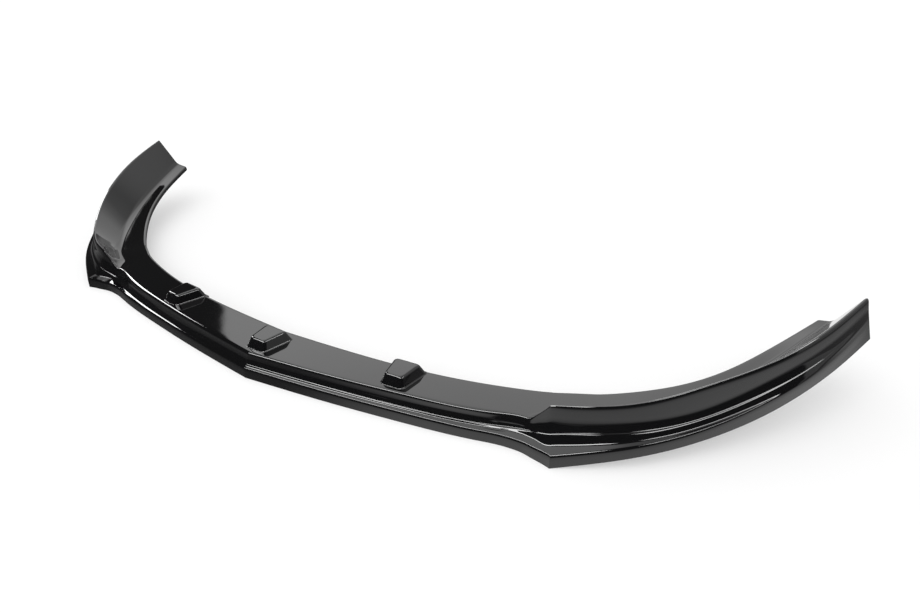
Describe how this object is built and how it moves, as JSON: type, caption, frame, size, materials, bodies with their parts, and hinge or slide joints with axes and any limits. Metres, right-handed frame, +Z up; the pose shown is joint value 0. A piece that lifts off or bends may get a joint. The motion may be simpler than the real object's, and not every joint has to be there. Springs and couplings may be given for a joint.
{
  "type": "front splitter lip",
  "caption": "Gloss black front splitter lip for a car bumper: a thermoformed sheet with a level deck, stepped blade, pointed corners, upswept wings and hollow blocks on the deck",
  "frame": {"origin": "on the level top face of the deck, on the plane of symmetry, just behind the middle block", "axes": "+X to the car's left side, seen from the front as the right, +Y to the rear, +Z up out of the deck"},
  "size_m": [1.74, 0.545, 0.1563],
  "materials": {
    "gloss_black_abs": "gloss, as formed over a polished mould"
  },
  "bodies": {
    "root": {"splitter_lip": "gloss_black_abs"}
  },
  "joints": []
}
